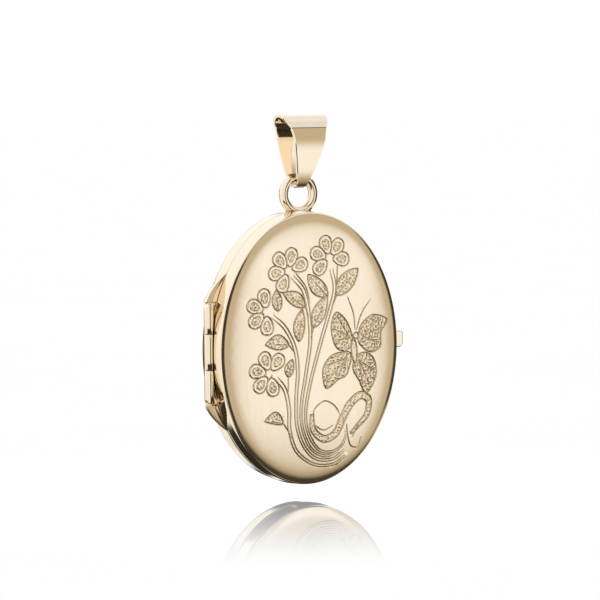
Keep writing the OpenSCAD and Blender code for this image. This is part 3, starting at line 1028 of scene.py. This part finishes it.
def sweep_tree(name):
    """Geometry nodes: round wire swept along an oval."""
    tree = bpy.data.node_groups.new(name, "GeometryNodeTree")
    face = tree.interface
    for label, kind in (("Half width", "NodeSocketFloat"), ("Half height", "NodeSocketFloat"),
                        ("Along", "NodeSocketInt"), ("Wire radius", "NodeSocketFloat"),
                        ("Material", "NodeSocketMaterial")):
        face.new_socket(name=label, in_out="INPUT", socket_type=kind)
    face.new_socket(name="Geometry", in_out="OUTPUT", socket_type="NodeSocketGeometry")
    link = tree.links.new
    values = node(tree, "NodeGroupInput", (-1400, 0))
    circle = node(tree, "GeometryNodeCurvePrimitiveCircle", (-1000, 300), Radius=1.0)
    link(values.outputs["Along"], circle.inputs["Resolution"])
    scale = node(tree, "ShaderNodeCombineXYZ", (-1000, 100))
    link(values.outputs["Half width"], scale.inputs["X"])
    link(values.outputs["Half height"], scale.inputs["Y"])
    place = node(tree, "GeometryNodeInputPosition", (-1000, -50))
    times = node(tree, "ShaderNodeVectorMath", (-800, 50), operation="MULTIPLY")
    link(place.outputs[0], times.inputs[0])
    link(scale.outputs[0], times.inputs[1])
    path = node(tree, "GeometryNodeSetPosition", (-600, 300))
    link(circle.outputs["Curve"], path.inputs["Geometry"])
    link(times.outputs[0], path.inputs["Position"])
    upright = node(tree, "GeometryNodeSetCurveNormal", (-400, 300))
    upright.mode = "Z_UP"
    link(path.outputs[0], upright.inputs[0])
    wire = node(tree, "GeometryNodeCurvePrimitiveCircle", (-800, -300))
    wire.inputs["Resolution"].default_value = 32
    link(values.outputs["Wire radius"], wire.inputs["Radius"])
    swept = node(tree, "GeometryNodeCurveToMesh", (-200, 200))
    link(upright.outputs[0], swept.inputs["Curve"])
    link(wire.outputs["Curve"], swept.inputs["Profile Curve"])
    smooth = node(tree, "GeometryNodeSetShadeSmooth", (0, 200))
    link(swept.outputs[0], smooth.inputs[0])
    real = node(tree, "GeometryNodeRealizeInstances", (200, 200))
    link(smooth.outputs[0], real.inputs[0])
    coat = node(tree, "GeometryNodeSetMaterial", (400, 200))
    link(real.outputs[0], coat.inputs["Geometry"])
    link(values.outputs["Material"], coat.inputs["Material"])
    out = node(tree, "NodeGroupOutput", (600, 200))
    link(coat.outputs[0], out.inputs[0])
    return tree


def baked(name, tree, values, place):
    """Runs a tree on an empty mesh and keeps the result as a plain mesh, moved to its place."""
    holder = bpy.data.objects.new(name + "_maker", bpy.data.meshes.new(name + "_maker"))
    bpy.context.scene.collection.objects.link(holder)
    modifier = holder.modifiers.new("Maker", "NODES")
    modifier.node_group = tree
    for socket in tree.interface.items_tree:
        if socket.in_out == "INPUT" and socket.name in values:
            modifier[socket.identifier] = values[socket.name]
    graph = bpy.context.evaluated_depsgraph_get()
    mesh = bpy.data.meshes.new_from_object(holder.evaluated_get(graph), depsgraph=graph)
    bpy.data.objects.remove(holder)
    mesh.transform(place)
    mesh.name = name
    obj = bpy.data.objects.new(name, mesh)
    bpy.context.scene.collection.objects.link(obj)
    outward(obj)
    return obj


def case_matrix(x, y, depth):
    """Turns the plane of a sweep into the case's plane at a place in it."""
    return Matrix.Translation(at(x, y, depth)) @ Matrix.Rotation(math.radians(90), 4, "X")


def seat_points(case, behind, columns, across):
    """The solder seat's points: a low mound that runs up the wire on both sides, and its foot."""
    crest, foot = [], []
    for i in range(columns):
        x = (i / (columns - 1) * 2 - 1) * SEAT_HALF
        outline = case.half_height * math.sqrt(1 - (x / case.half_width) ** 2)
        fade = 1 - (abs(x) / SEAT_HALF) ** 2.2
        by_wire = math.exp(-((abs(x) - 0.9 * MM) / (0.42 * MM)) ** 2) if abs(x) < 1.9 * MM else 0
        for j in range(across):
            t = j / (across - 1) * 2 - 1
            depth = behind + t * 0.5 * MM * (0.35 + 0.65 * fade)
            bulge = math.cos(t * math.pi / 2) ** 0.8
            rise = (0.30 * fade**1.3 + 0.16 * by_wire) * bulge * MM
            crest.append(at(x, outline - 0.06 * MM + rise, depth))
            foot.append(at(x, outline - 0.16 * MM, depth))
    return crest + foot


def build_ring(context):
    """The ring, swept from round wire, and the solder seat that holds it on the case."""
    bail = context.scene.locket_bail
    case = context.scene.locket_case
    centre = BAIL_HIGH.z - BAIL_RISE - bail.ring_radius - CASE_MIDDLE
    tree = sweep_tree("Swept oval")
    behind = -bail.wire_radius - case.seam
    ring = baked("wire_ring", tree, {
        "Half width": bail.ring_radius, "Half height": bail.ring_radius, "Along": 160,
        "Wire radius": bail.wire_radius, "Material": finishes()["polished_gold"],
    }, case_matrix(0, centre, behind))
    stand_in(ring, "back_half", "polished_gold", "hanging_ring")
    columns, across = 61, 17
    points = seat_points(case, behind, columns, across)
    top = len(points) // 2
    faces = grid_faces(columns, across, close_columns=False)
    faces += [tuple(reversed(f)) for f in grid_faces(columns, across, start=top,
                                                      close_columns=False)]
    rim = ([i * across for i in range(columns)]
           + [(columns - 1) * across + j for j in range(1, across)]
           + [i * across + across - 1 for i in range(columns - 2, -1, -1)]
           + list(range(across - 2, 0, -1)))
    faces += [(here, after, after + top, here + top) for here, after in zip(rim, rim[1:] + rim[:1])]
    seat = mesh_piece("solder_seat", points, faces, finishes()["polished_gold"])
    outward(seat)
    stand_in(seat, "back_half", "polished_gold", "ring_seat")


# ---------------------------------------------------------------- the hinge


def tube(name, low, high, outer, bore, material, mitre=0):
    """A knuckle along the hinge's axis. mitre is 1 or -1 for the end that is cut slanting."""
    hinge_x = (BARREL_LOW.x + BARREL_HIGH.x) / 2
    steps = 64
    turned = 0.03 * MM
    rows = [(bore, low), (outer - turned, low), (outer, low + turned)]
    rows += [(outer, low + (high - low) * k) for k in (0.3, 0.7)]
    rows += [(outer, high - turned), (outer - turned, high), (bore, high)]
    points = []
    for radius, y in rows:
        for i in range(steps):
            a = 2 * math.pi * i / steps
            x = hinge_x + radius * math.cos(a)
            limit = y
            if mitre:
                share = np.clip((x - (hinge_x - outer)) / (0.9 * outer), 0, 1)
                cut = (1 - share) * 0.5 * MM
                edge = (high if mitre > 0 else low) - mitre * cut
                limit = min(y, edge) if mitre > 0 else max(y, edge)
            points.append(at(x, limit, radius * math.sin(a)))
    faces = grid_faces(len(rows), steps, close_rows=True)
    obj = mesh_piece(name, points, faces, material)
    outward(obj)
    mark_sharp(obj, 50)
    return obj


def build_hinge(context):
    """The three knuckles, the pin, and the plate with its two end shoulders."""
    hinge = context.scene.locket_hinge
    case = context.scene.locket_case
    gold = finishes()["polished_gold"]
    outer, pin = hinge.barrel_radius, hinge.pin_radius
    top = (BARREL_HIGH.z - BARREL_LOW.z) / 2
    upper_low = top - 3.3 * MM
    middle_high = upper_low - 0.06 * MM
    middle_low = middle_high - 3.84 * MM
    upper = tube("upper_tube", upper_low, top, outer, pin, gold, 1)
    stand_in(upper, "back_half", "polished_gold", "upper_knuckle")
    lower = tube("lower_tube", -top, middle_low - 0.06 * MM, outer, pin, gold, -1)
    stand_in(lower, "back_half", "polished_gold", "lower_knuckle")
    middle = tube("middle_tube", middle_low, middle_high, outer, pin + 0.02 * MM, gold)
    stand_in(middle, "front_half", "polished_gold", "middle_knuckle")
    axis = tube("pin_wire", -top + 0.02 * MM, top - 0.02 * MM, pin, 0.0001 * MM, gold)
    stand_in(axis, "back_half", "polished_gold", "hinge_pin")
    hinge_x = (BARREL_LOW.x + BARREL_HIGH.x) / 2
    plates = []
    for sign, slot in ((1, 0.08 * MM), (-1, 0.3 * MM)):
        start, end = top + slot, top + 3.1 * MM
        plates.append(shoulder_horn(case, hinge_x, sign, start, end, gold))
    strip = []
    for k in range(25):
        y = -top - 0.35 * MM + (2 * top + 0.5 * MM) * k / 24
        strip.append((-(case.half_width - 0.15 * MM) * math.sqrt(1 - (y / case.half_height) ** 2),
                      y))
    strip += [(hinge_x - 0.05 * MM, top + 0.15 * MM), (hinge_x - 0.05 * MM, -top - 0.35 * MM)]
    plates.append(extruded("strip", strip, -0.62 * MM, -0.92 * MM, gold))
    plate = joined("hinge_strip", plates)
    soften(plate, 0.03 * MM, 2)
    stand_in(plate, "back_half", "polished_gold", "hinge_plate")


def shoulder_horn(case, hinge_x, sign, start, end, material):
    """An end shoulder of the hinge plate: the barrel's round back, filed down into the wall."""
    rows = []
    steps = 14
    for k in range(steps + 1):
        share = k / steps
        y = start + (end - start) * share
        wall_x = -case.half_width * math.sqrt(1 - (y / case.half_height) ** 2)
        out_x = (hinge_x - 0.3 * MM) * (1 - share) + (wall_x - 0.02 * MM) * share
        in_x = wall_x + 0.25 * MM
        thick = 0.9 * MM * (1 - 0.35 * share)
        radius = min(0.42 * MM, 0.5 * (in_x - out_x))
        front = -0.02 * MM
        row = [(in_x, front)]
        for j in range(4):
            a = math.radians(90 + 90 * j / 3)
            row.append((out_x + 0.08 * MM + 0.08 * MM * math.cos(a),
                        front - 0.08 * MM + 0.08 * MM * math.sin(a)))
        for j in range(9):
            a = math.radians(180 + 90 * j / 8)
            row.append((out_x + radius + radius * math.cos(a),
                        front - thick + radius + radius * math.sin(a)))
        row.append((in_x, front - thick))
        rows.append([at(x, sign * y, z) for x, z in row])
    n = len(rows[0])
    points = [p for row in rows for p in row]
    faces = grid_faces(len(rows), n)
    faces += [tuple(range(n)), tuple(range(len(points) - 1, len(points) - 1 - n, -1))]
    obj = mesh_piece("shoulder", points, faces, material)
    outward(obj)
    return obj


def joined(name, objects):
    """Several meshes as one piece."""
    for other in bpy.context.selected_objects:
        other.select_set(False)
    for obj in objects:
        obj.select_set(True)
    bpy.context.view_layer.objects.active = objects[0]
    bpy.ops.object.join()
    objects[0].name = name
    objects[0].data.name = name
    objects[0].select_set(False)
    return objects[0]


def build_thumb_piece(context):
    """The small tab that opens the case."""
    case = context.scene.locket_case
    up, reach, half, corner = 0.3 * MM, 1.5 * MM, 0.93 * MM, 0.45 * MM
    outline = [(case.half_width - 0.2 * MM, up - half)]
    for side, first in ((-1, -90), (1, 0)):
        for k in range(9):
            a = math.radians(first + 90 * k / 8)
            outline.append((case.half_width + reach - corner + corner * math.cos(a),
                            up + side * (half - corner) + corner * math.sin(a)))
    outline.append((case.half_width - 0.2 * MM, up + half))
    tab = extruded("thumb_tab", outline, 0.1 * MM, 0.6 * MM, finishes()["polished_gold"])
    soften(tab, 0.14 * MM, 4)
    stand_in(tab, "front_half", "polished_gold", "thumb_piece")


# ---------------------------------------------------------------- inside the case


def oval_sheet(name, source, material):
    """A flat oval sheet with eased edges, as large as the node that it stands in for."""
    spots = [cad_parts[source].matrix_world @ Vector(c)
             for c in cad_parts[source].bound_box]
    low = [min(p[k] for p in spots) for k in range(3)]
    high = [max(p[k] for p in spots) for k in range(3)]
    angles = np.linspace(0, 2 * math.pi, 240, endpoint=False)
    x, y = oval(0, angles, (high[0] - low[0]) / 2, (high[2] - low[2]) / 2)
    air = 0.01 * MM
    sheet = extruded(name, list(zip(x, y)), air - high[1], -low[1] - air, material)
    soften(sheet, 0.03 * MM, 2)
    mark_sharp(sheet, 20)
    return sheet


def build_inside(context):
    """The windows and the cards, and the finishes of the other inner pieces."""
    known = finishes()
    for half in ("front", "back"):
        sheet = oval_sheet(half + "_sheet", half + "_window", known["clear_window"])
        stand_in(sheet, half + "_half", "clear_window", half + "_window")
        card = oval_sheet(half + "_blank", half + "_card", known["picture_card"])
        stand_in(card, half + "_half", "picture_card", half + "_card")
    for name in ("snap_bezel", "catch_bead", "back_bearer", "front_bearer",
                 "back_picture_frame", "front_picture_frame"):
        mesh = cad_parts[name].data
        mesh.materials.clear()
        mesh.materials.append(known["inner_gold"])


# ---------------------------------------------------------------- the studio


def studio_world():
    """A white studio with dark cards between its soft panels, as polished metal sees it."""
    world = bpy.data.worlds.new("Studio")
    bpy.context.scene.world = world
    world.use_nodes = True
    world.cycles.sampling_method = "NONE"
    tree = world.node_tree
    tree.nodes.clear()
    link = tree.links.new
    place = node(tree, "ShaderNodeTexCoord", (-2000, 0))
    split = node(tree, "ShaderNodeSeparateXYZ", (-1800, 0))
    link(place.outputs["Generated"], split.inputs[0])
    back = node(tree, "ShaderNodeMath", (-1600, -100), operation="MULTIPLY")
    link(split.outputs["Y"], back.inputs[0])
    back.inputs[1].default_value = -1.0
    azimuth = node(tree, "ShaderNodeMath", (-1400, 0), operation="ARCTAN2")
    link(split.outputs["X"], azimuth.inputs[0])
    link(back.outputs[0], azimuth.inputs[1])
    elevation = node(tree, "ShaderNodeMath", (-1400, -200), operation="ARCSINE")
    link(split.outputs["Z"], elevation.inputs[0])

    def edge(angle, place_at, soft):
        rise = node(tree, "ShaderNodeMapRange", (-1000, 0), interpolation_type="SMOOTHSTEP")
        link(angle.outputs[0], rise.inputs["Value"])
        rise.inputs["From Min"].default_value = math.radians(place_at - soft / 2)
        rise.inputs["From Max"].default_value = math.radians(place_at + soft / 2)
        return rise.outputs["Result"]

    def product(one, two, operation="MULTIPLY"):
        made = node(tree, "ShaderNodeMath", (-800, 0), operation=operation)
        link(one, made.inputs[0])
        link(two, made.inputs[1])
        return made.outputs[0]

    current = None
    for k, (left, right, low, high, soft_h, soft_v, colour, level) in enumerate(STUDIO):
        across = product(edge(azimuth, left, soft_h), edge(azimuth, right, soft_h), "SUBTRACT")
        up = product(edge(elevation, low, soft_v), edge(elevation, high, soft_v), "SUBTRACT")
        mask = product(across, up)
        mix = node(tree, "ShaderNodeMix", (-400 + 50 * k, 0), data_type="RGBA")
        link(mask, mix.inputs["Factor"])
        if current is None:
            mix.inputs[6].default_value = (*BASE_STUDIO, 1.0)
        else:
            link(current, mix.inputs[6])
        mix.inputs[7].default_value = (*[c * level for c in colour], 1.0)
        current = mix.outputs[2]
    seen = node(tree, "ShaderNodeLightPath", (0, 300))
    glossy = node(tree, "ShaderNodeMix", (300, 0), data_type="RGBA")
    # a perfect mirror, as the floor is, sees plain white instead of the cards
    dull = product(seen.outputs["Is Glossy Ray"], seen.outputs["Is Singular Ray"], "SUBTRACT")
    link(dull, glossy.inputs["Factor"])
    glossy.inputs[6].default_value = (1.15, 1.15, 1.15, 1.0)
    link(current, glossy.inputs[7])
    light = node(tree, "ShaderNodeBackground", (500, 0))
    link(glossy.outputs[2], light.inputs["Color"])
    out = node(tree, "ShaderNodeOutputWorld", (700, 0))
    link(light.outputs[0], out.inputs["Surface"])


WARM = (1.0, 0.88, 0.67)
COOL = (1.0, 1.02, 1.08)
BASE_STUDIO = (0.99, 0.99, 0.98)
# Each panel or card: azimuth from and to, elevation from and to, softness across and upright,
# tint and brightness. Degrees; azimuth 0 is in front of the locket and 90 to its right.
STUDIO = (
    (-185, -100, 0, 80, 30, 20, COOL, 1.12),
    (130, 185, 8, 80, 10, 14, COOL, 1.12),
    (8, 60, -75, 75, 10, 10, WARM, 0.6),
    (23, 39.5, -12, 3, 7, 7, COOL, 1.05),
    (-6, 9, -70, 60, 5, 14, WARM, 0.05),
    (-70, 16, -60, -24, 8, 10, WARM, 0.04),
    (5, 62, -60, -18.5, 8, 11, WARM, 0.06),
    (52, 108, -16, 24, 8, 8, WARM, 0.05),
    (5, 62, 19.5, 22.6, 4, 0.8, WARM, 0.08),
    (5, 62, 22.6, 95, 4, 0.8, COOL, 0.86),
    (62, 130, 22, 95, 10, 8, COOL, 0.95),
    (-200, 200, -100, -44, 2, 12, WARM, 0.05),
    (140, 190, -75, -28, 4, 5, WARM, 0.03),
    (-190, -158, -75, -28, 4, 5, WARM, 0.03),
    (141, 153, -75, -12, 3, 3, WARM, 0.03),
    (141, 158, -14, -1, 3, 2, WARM, 0.05),
    (-28, 48, -100, -54, 14, 10, WARM, 0.5),
    (152, 190, -20, 10, 3, 6, WARM, 0.05),
    (-190, -160, -20, 10, 4, 6, WARM, 0.05),
)


def floor_material():
    """White that glows by itself, under a faint mirror that fades away from the locket."""
    material, tree, shader = new_material("pale_floor")
    link = tree.links.new
    shader.inputs["Metallic"].default_value = 1.0
    shader.inputs["Base Color"].default_value = (0.95, 0.95, 0.96, 1.0)
    shader.inputs["Roughness"].default_value = 0.0
    place = node(tree, "ShaderNodeTexCoord", (-1200, 0))
    grain = node(tree, "ShaderNodeTexNoise", (-900, 250), Scale=40.0, Detail=2.0)
    link(place.outputs["Object"], grain.inputs["Vector"])
    tint = node(tree, "ShaderNodeValToRGB", (-600, 250))
    ramp_colours(tint, [(0.3, (0.996, 0.996, 0.996)), (0.7, (1.0, 1.0, 1.0))])
    link(grain.outputs["Fac"], tint.inputs["Fac"])
    glow = node(tree, "ShaderNodeEmission", (0, 250))
    link(tint.outputs["Color"], glow.inputs["Color"])
    flat = node(tree, "ShaderNodeMapping", (-900, 0))
    flat.inputs["Scale"].default_value = (1.0, 1.0, 0.0)
    link(place.outputs["Object"], flat.inputs["Vector"])
    away = node(tree, "ShaderNodeVectorMath", (-700, 0), operation="LENGTH")
    link(flat.outputs["Vector"], away.inputs[0])
    fade = node(tree, "ShaderNodeMapRange", (-500, 0), interpolation_type="SMOOTHSTEP")
    fade.inputs["From Min"].default_value = 4 * MM
    fade.inputs["From Max"].default_value = 45 * MM
    fade.inputs["To Min"].default_value = 0.72
    fade.inputs["To Max"].default_value = 0.0
    link(away.outputs["Value"], fade.inputs["Value"])
    layers = node(tree, "ShaderNodeMixShader", (300, 100))
    link(fade.outputs["Result"], layers.inputs[0])
    link(glow.outputs[0], layers.inputs[1])
    link(shader.outputs[0], layers.inputs[2])
    link(layers.outputs[0], tree.nodes["Material Output"].inputs["Surface"])
    return material


def soft_lamp(name, energy, spot, span):
    """A round soft light that looks at the origin and isn't mirrored in the gold."""
    data = bpy.data.lights.new(name, "AREA")
    data.shape = "DISK"
    data.size = span
    data.energy = energy
    data.use_shadow = False
    lamp = bpy.data.objects.new(name, data)
    lamp.location = spot
    lamp.rotation_mode = "QUATERNION"
    lamp.rotation_quaternion = (-Vector(spot)).to_track_quat("-Z", "Y")
    lamp.visible_glossy = False
    bpy.context.scene.collection.objects.link(lamp)


def add_camera(stage):
    """A long lens to the locket's left, a little above its middle and hardly tilted."""
    azimuth, elevation, roll = stage.camera_azimuth, stage.camera_elevation, stage.camera_roll
    right = Vector((math.cos(azimuth), math.sin(azimuth), 0))
    back = Vector((math.sin(azimuth) * math.cos(elevation),
                   -math.cos(azimuth) * math.cos(elevation), math.sin(elevation)))
    up = back.cross(right)
    data = bpy.data.cameras.new("Camera")
    data.sensor_width = 36.0
    data.lens = stage.lens
    data.clip_start, data.clip_end = 0.01, 10.0
    camera = bpy.data.objects.new("Camera", data)
    bpy.context.scene.collection.objects.link(camera)
    camera_x = right * math.cos(roll) - up * math.sin(roll)
    camera_y = right * math.sin(roll) + up * math.cos(roll)
    turn = Matrix((camera_x, camera_y, back)).transposed().to_4x4()
    middle = Vector((0, 0, CASE_MIDDLE))
    spot = (middle + back * stage.camera_distance + right * stage.camera_aside
            + up * stage.camera_rise)
    camera.matrix_world = Matrix.Translation(spot) @ turn
    bpy.context.scene.camera = camera


def build_stage(context):
    """The floor, the soft lights, the camera and the studio that the gold reflects."""
    stage = context.scene.locket_stage
    case = context.scene.locket_case
    context.scene.view_settings.view_transform = "Standard"
    level = CASE_MIDDLE - case.half_height - stage.floor_gap
    half = stage.floor_size / 2
    corners = [(-half, -half, level), (half, -half, level), (half, half, level),
               (-half, half, level)]
    floor = mesh_piece("floor", corners, [(0, 1, 2, 3)], floor_material(), smooth=False)
    floor.visible_glossy = False
    soft_lamp("Key", 0.25, (0.25, -0.35, 0.35), 0.5)
    soft_lamp("Fill", 0.12, (-0.4, -0.2, 0.2), 0.5)
    studio_world()
    add_camera(stage)


# ---------------------------------------------------------------- operators


def step(function):
    """Runs one building step as an operator's body."""
    function(bpy.context)
    return {"FINISHED"}


class LOCKET_OT_front(bpy.types.Operator):
    """Make the front half's shell and cut its engraving"""

    bl_idname = "locket.front"
    bl_label = "Engraved front"

    def execute(self, context):
        return step(build_front)


class LOCKET_OT_back(bpy.types.Operator):
    """Make the plain back half's shell"""

    bl_idname = "locket.back"
    bl_label = "Plain back"

    def execute(self, context):
        return step(build_back)


class LOCKET_OT_bail(bpy.types.Operator):
    """Make the folded bail"""

    bl_idname = "locket.bail"
    bl_label = "Bail"

    def execute(self, context):
        return step(build_bail)


class LOCKET_OT_ring(bpy.types.Operator):
    """Make the ring and its solder seat"""

    bl_idname = "locket.ring"
    bl_label = "Ring and seat"

    def execute(self, context):
        return step(build_ring)


class LOCKET_OT_hinge(bpy.types.Operator):
    """Make the knuckles, the pin and the hinge plate"""

    bl_idname = "locket.hinge"
    bl_label = "Hinge"

    def execute(self, context):
        return step(build_hinge)


class LOCKET_OT_thumb(bpy.types.Operator):
    """Make the thumb piece"""

    bl_idname = "locket.thumb"
    bl_label = "Thumb piece"

    def execute(self, context):
        return step(build_thumb_piece)


class LOCKET_OT_inside(bpy.types.Operator):
    """Make the windows and the cards, and give the picture frames, the snap bezel and the other
    inner pieces their finish
    """

    bl_idname = "locket.inside"
    bl_label = "Inside"

    def execute(self, context):
        return step(build_inside)


class LOCKET_OT_stage(bpy.types.Operator):
    """Set up the floor, the lights and the camera"""

    bl_idname = "locket.stage"
    bl_label = "Stage"

    def execute(self, context):
        return step(build_stage)


OPERATORS = (LOCKET_OT_front, LOCKET_OT_back, LOCKET_OT_bail, LOCKET_OT_ring, LOCKET_OT_hinge,
             LOCKET_OT_thumb, LOCKET_OT_inside, LOCKET_OT_stage)


class LOCKET_PT_panel(bpy.types.Panel):
    """Lists the locket's steps"""

    bl_idname = "LOCKET_PT_panel"
    bl_label = "Locket"
    bl_space_type = "VIEW_3D"
    bl_region_type = "UI"
    bl_category = "Locket"

    def draw(self, context):
        for operator in OPERATORS:
            self.layout.operator(operator.bl_idname, text=operator.bl_label)
        for name, group in GROUPS.items():
            box = self.layout.box()
            for prop in group.__annotations__:
                box.prop(getattr(context.scene, name), prop)


def register():
    for group in GROUPS.values():
        bpy.utils.register_class(group)
    for name, group in GROUPS.items():
        setattr(bpy.types.Scene, name, PointerProperty(type=group))
    for cls in (*OPERATORS, LOCKET_PT_panel):
        bpy.utils.register_class(cls)


def unregister():
    for cls in reversed((*OPERATORS, LOCKET_PT_panel)):
        bpy.utils.unregister_class(cls)
    for name, group in GROUPS.items():
        delattr(bpy.types.Scene, name)
        bpy.utils.unregister_class(group)


def main():
    """Builds the locket and its stage."""
    register()
    for operator in OPERATORS:
        group, name = operator.bl_idname.split(".")
        getattr(getattr(bpy.ops, group), name)()


if __name__ == "__main__":
    main()
